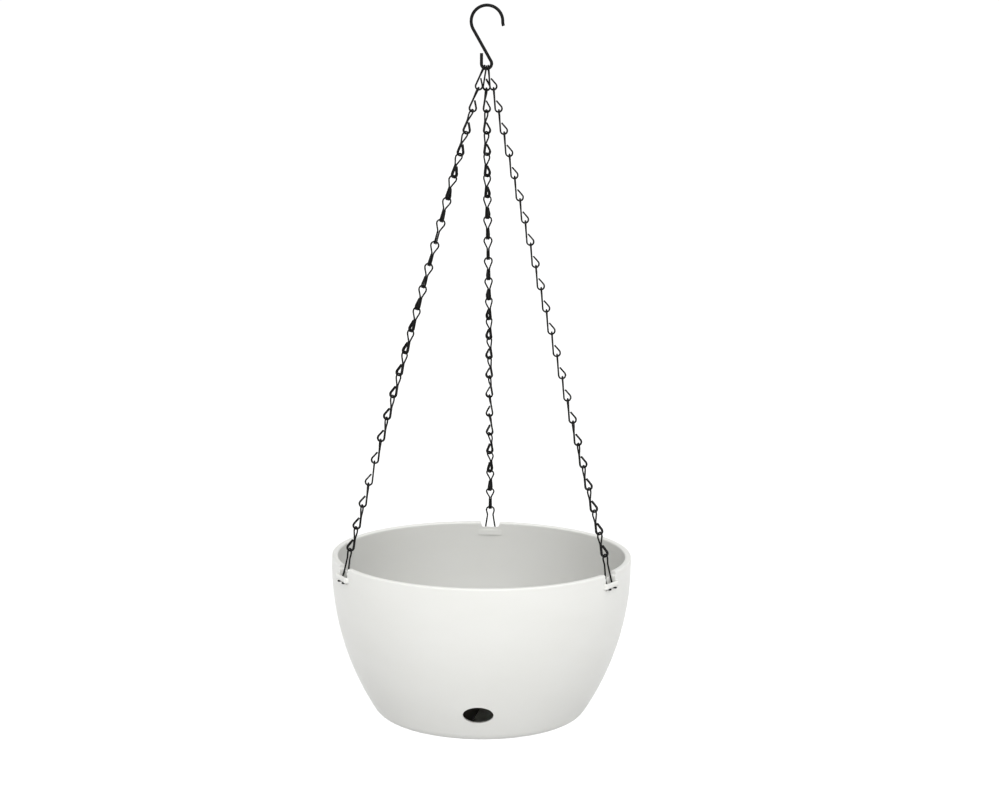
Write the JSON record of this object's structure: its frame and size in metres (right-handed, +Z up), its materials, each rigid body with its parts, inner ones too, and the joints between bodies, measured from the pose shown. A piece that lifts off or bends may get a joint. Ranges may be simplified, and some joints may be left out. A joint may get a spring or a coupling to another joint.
{
  "type": "hanging basket",
  "caption": "Round white plastic hanging pot on wire-link chains that meet on an S-hook, with spring clips, an overflow hole and a raised inner plate.",
  "frame": {"origin": "crown inside the S-hook's upper bend, where a ceiling hook or bracket bears", "axes": "+Z up, +Y towards the back ear of the pot, overflow hole near -Y; the S-hook's bends lie in the XZ plane"},
  "size_m": [0.285, 0.2887, 0.67],
  "materials": {
    "white_plastic": "satin moulded",
    "black_wire": "satin black coating",
    "black_plastic": "matte moulded"
  },
  "bodies": {
    "hook": {"s_hook": "black_wire"},
    "basket": {"pot": "white_plastic", "back_link_01": "black_wire", "back_link_02": "black_wire", "back_link_03": "black_wire", "back_link_04": "black_wire", "back_link_05": "black_wire", "back_link_06": "black_wire", "back_link_07": "black_wire", "back_link_08": "black_wire", "back_link_09": "black_wire", "back_link_10": "black_wire", "back_link_11": "black_wire", "back_link_12": "black_wire", "back_link_13": "black_wire", "back_link_14": "black_wire", "back_links_15_16": "black_wire", "back_links_17_18": "black_wire", "back_links_19_20": "black_wire", "back_links_21_22": "black_wire", "left_link_01": "black_wire", "left_link_02": "black_wire", "left_link_03": "black_wire", "left_link_04": "black_wire", "left_link_05": "black_wire", "left_link_06": "black_wire", "left_link_07": "black_wire", "left_link_08": "black_wire", "left_link_09": "black_wire", "left_link_10": "black_wire", "left_link_11": "black_wire", "left_link_12": "black_wire", "left_link_13": "black_wire", "left_link_14": "black_wire", "left_links_15_16": "black_wire", "left_links_17_18": "black_wire", "left_links_19_20": "black_wire", "left_links_21_22": "black_wire", "right_link_01": "black_wire", "right_link_02": "black_wire", "right_link_03": "black_wire", "right_link_04": "black_wire", "right_link_05": "black_wire", "right_link_06": "black_wire", "right_link_07": "black_wire", "right_link_08": "black_wire", "right_link_09": "black_wire", "right_link_10": "black_wire", "right_link_11": "black_wire", "right_link_12": "black_wire", "right_link_13": "black_wire", "right_link_14": "black_wire", "right_links_15_16": "black_wire", "right_links_17_18": "black_wire", "right_links_19_20": "black_wire", "right_links_21_22": "black_wire", "back_clip": "black_wire", "left_clip": "black_wire", "right_clip": "black_wire"},
    "insert": {"water_insert": "black_plastic"}
  },
  "joints": [
    {"name": "basket_swing", "type": "hinge", "parent": "hook", "child": "basket", "pos_m": [0, 0, -0.056], "axis": [1, 0, 0], "range_deg": [-30, 30]},
    {"name": "insert_lift", "type": "slide", "parent": "basket", "child": "insert", "axis": [0, 0, 1], "range_m": [0, 0.12]}
  ]
}
